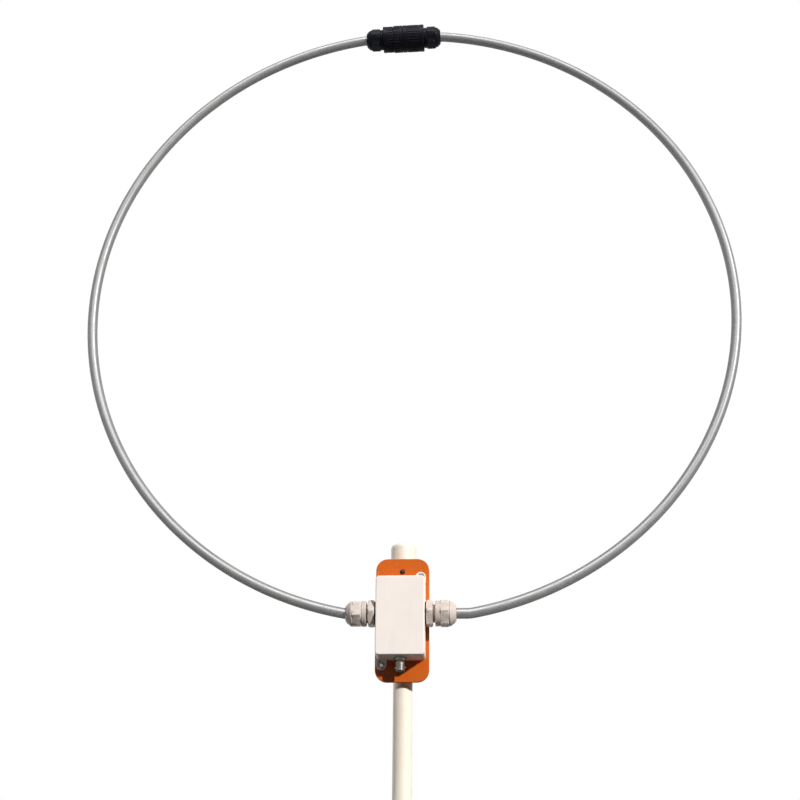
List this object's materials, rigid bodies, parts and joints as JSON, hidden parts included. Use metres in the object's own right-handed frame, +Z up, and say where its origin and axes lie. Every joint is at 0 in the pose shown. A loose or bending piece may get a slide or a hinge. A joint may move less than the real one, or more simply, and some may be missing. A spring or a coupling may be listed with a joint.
{
  "type": "radio loop antenna",
  "caption": "Active receiving loop antenna: a round aluminium tube loop with a waterproof joiner, held by cable glands in an amplifier case on a plate clipped to a plastic mast.",
  "frame": {"origin": "centre of the mast pipe's lower end", "axes": "+Z up along the mast, -Y towards the front of the case, +X to the right seen from the front"},
  "size_m": [0.727, 0.0623, 0.9239],
  "materials": {
    "pvc_white": "extruded PVC, satin",
    "plate_orange": "glossy phenolic sheet",
    "case_white": "moulded ABS, fine satin",
    "nylon_grey": "moulded nylon, satin",
    "rubber_black": "soft rubber",
    "tube_aluminium": "drawn tube, bare",
    "joiner_black": "moulded nylon, satin",
    "contact_brass": "turned, bright",
    "jack_nickel": "nickel plate",
    "jack_insulation": "PTFE",
    "screw_black": "black oxide",
    "screw_steel": "zinc plate",
    "board_green": "solder mask",
    "core_ferrite": "sintered ferrite",
    "chip_black": "moulded epoxy",
    "capacitor_blue": "printed sleeve",
    "lead_red": "PVC insulation"
  },
  "bodies": {
    "mast": {"mast_pipe": "pvc_white", "mast_cap": "pvc_white"},
    "head": {"back_plate": "plate_orange", "pipe_clip_upper": "pvc_white", "pipe_clip_lower": "pvc_white", "clip_screws": "screw_black", "case_base": "case_white", "case_lid": "case_white", "lid_screws": "screw_steel", "ear_screws": "screw_steel", "ear_nuts": "screw_steel", "gland_body_left": "nylon_grey", "gland_body_right": "nylon_grey", "gland_washer_left": "rubber_black", "gland_washer_right": "rubber_black", "gland_locknut_left": "nylon_grey", "gland_locknut_right": "nylon_grey", "gland_seal_left": "rubber_black", "gland_seal_right": "rubber_black", "circuit_board": "board_green", "board_screws": "screw_steel", "input_transformer": "core_ferrite", "amplifier_chip": "chip_black", "board_capacitors": "capacitor_blue", "jack_body": "jack_nickel", "jack_insulator": "jack_insulation", "jack_contact": "contact_brass", "jack_washer": "jack_nickel", "jack_nut": "jack_nickel", "jack_lead": "lead_red", "loop_lugs": "screw_steel", "loop_leads": "lead_red"},
    "loop": {"loop_tube_left": "tube_aluminium", "loop_tube_right": "tube_aluminium", "tube_studs": "contact_brass", "stud_nuts": "contact_brass", "plug_body": "joiner_black", "socket_body": "joiner_black", "plug_contact": "contact_brass", "socket_contact": "contact_brass", "joiner_oring": "rubber_black", "joiner_seal_left": "rubber_black", "joiner_seal_right": "rubber_black"},
    "left_gland_nut": {"gland_nut_left": "nylon_grey"},
    "right_gland_nut": {"gland_nut_right": "nylon_grey"},
    "joiner_ring": {"coupling_ring": "joiner_black"},
    "left_back_nut": {"back_nut_left": "joiner_black"},
    "right_back_nut": {"back_nut_right": "joiner_black"}
  },
  "joints": [
    {"name": "head_swivel", "type": "hinge", "parent": "mast", "child": "head", "pos_m": [0, 0, 0.2], "axis": [0, 0, 1], "continuous": true},
    {"name": "loop_tilt", "type": "hinge", "parent": "head", "child": "loop", "pos_m": [0, -0.03276, 0.2], "axis": [1, 0, 0], "range_deg": [-90, 90]},
    {"name": "gland_nut_left_turn", "type": "hinge", "parent": "head", "child": "left_gland_nut", "pos_m": [0, -0.03276, 0.2], "axis": [-1, 0, 0], "range_deg": [0, 360]},
    {"name": "gland_nut_right_turn", "type": "hinge", "parent": "head", "child": "right_gland_nut", "pos_m": [0, -0.03276, 0.2], "axis": [1, 0, 0], "range_deg": [0, 360]},
    {"name": "coupling_ring_turn", "type": "hinge", "parent": "loop", "child": "joiner_ring", "pos_m": [-0.00261, -0.03276, 0.90723], "axis": [-0.9996, 0, -0.0279], "range_deg": [0, 360]},
    {"name": "back_nut_left_turn", "type": "hinge", "parent": "loop", "child": "left_back_nut", "pos_m": [-0.00261, -0.03276, 0.90723], "axis": [-0.9996, 0, -0.0279], "range_deg": [0, 360]},
    {"name": "back_nut_right_turn", "type": "hinge", "parent": "loop", "child": "right_back_nut", "pos_m": [-0.00261, -0.03276, 0.90723], "axis": [0.9996, 0, 0.0279], "range_deg": [0, 360]}
  ]
}
